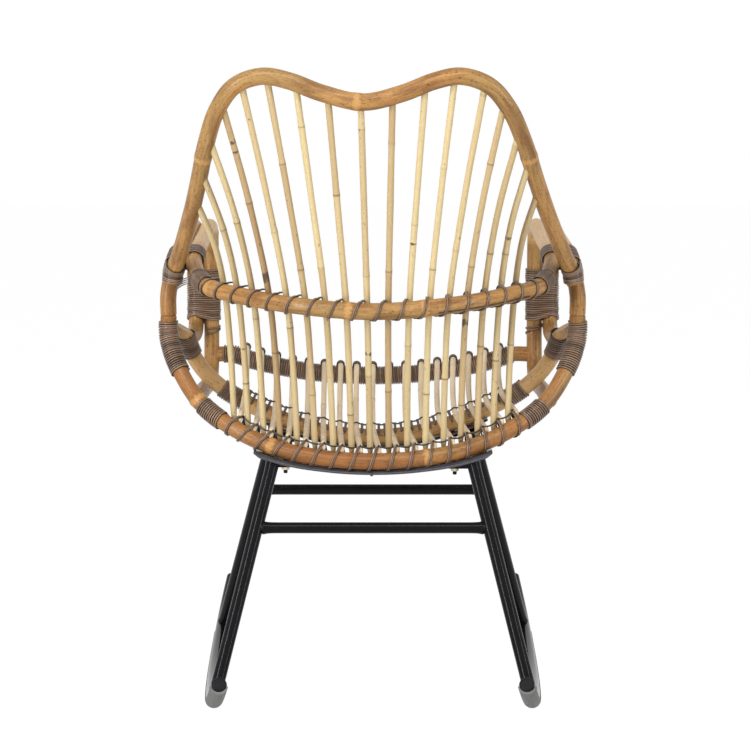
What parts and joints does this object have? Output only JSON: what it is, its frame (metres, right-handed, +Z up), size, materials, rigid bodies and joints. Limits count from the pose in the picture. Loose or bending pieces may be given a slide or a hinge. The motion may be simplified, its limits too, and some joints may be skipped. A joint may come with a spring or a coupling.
{
  "type": "rocking chair",
  "caption": "Rattan rocking chair: bent-pole bucket seat with a fanned spindle back and looped arms, lashed with cane, on a splayed black steel rocker base.",
  "frame": {"origin": "on the floor, under the middle of the chair's bounding box", "axes": "+Z up, the sitter looks along -Y, +X is the sitter's left"},
  "size_m": [0.6266, 0.7266, 0.9268],
  "materials": {
    "varnished_pole": "varnished rattan pole, satin, with darker nodes and specks",
    "peeled_core": "peeled pale rattan core, satin",
    "stained_cane": "dark stained cane strand, satin",
    "black_steel": "semi-gloss black powder coat",
    "grey_glide": "matt mid-grey plastic",
    "zinc_plate": "yellow zinc plate"
  },
  "bodies": {
    "root": {"arm_binding_left": "stained_cane", "arm_binding_right": "stained_cane", "back_hoop": "varnished_pole", "back_spindle_01": "peeled_core", "back_spindle_02": "peeled_core", "back_spindle_03": "peeled_core", "back_spindle_04": "peeled_core", "back_spindle_05": "peeled_core", "back_spindle_06": "peeled_core", "back_spindle_07": "peeled_core", "back_spindle_08": "peeled_core", "back_spindle_09": "peeled_core", "back_spindle_10": "peeled_core", "back_spindle_11": "peeled_core", "back_spindle_12": "peeled_core", "back_spindle_13": "peeled_core", "back_spindle_14": "peeled_core", "back_spindle_15": "peeled_core", "back_spindle_16": "peeled_core", "back_spindle_17": "peeled_core", "base_bolt_front_left": "zinc_plate", "base_bolt_front_right": "zinc_plate", "base_bolt_rear_left": "zinc_plate", "base_bolt_rear_right": "zinc_plate", "belt_lashing": "stained_cane", "belt_pole": "varnished_pole", "front_band": "black_steel", "front_rail_wrap": "stained_cane", "outer_arm_pole_left": "varnished_pole", "outer_arm_pole_right": "varnished_pole", "post_wrap_left": "stained_cane", "post_wrap_right": "stained_cane", "rear_band": "black_steel", "rear_rail_lashing": "stained_cane", "runner_glide_left": "grey_glide", "runner_glide_right": "grey_glide", "seat_front_rail": "varnished_pole", "seat_mid_rail": "varnished_pole", "seat_rear_rail": "varnished_pole", "seat_slat_01": "peeled_core", "seat_slat_02": "peeled_core", "seat_slat_03": "peeled_core", "seat_slat_04": "peeled_core", "seat_slat_05": "peeled_core", "seat_slat_06": "peeled_core", "seat_slat_07": "peeled_core", "seat_slat_08": "peeled_core", "seat_slat_09": "peeled_core", "seat_slat_10": "peeled_core", "seat_slat_11": "peeled_core", "seat_slat_12": "peeled_core", "seat_slat_13": "peeled_core", "seat_slat_14": "peeled_core", "seat_slat_15": "peeled_core", "seat_slat_16": "peeled_core", "seat_slat_17": "peeled_core", "side_frame_left": "black_steel", "side_frame_right": "black_steel", "stretcher_front": "black_steel", "stretcher_rear": "black_steel"}
  },
  "joints": []
}
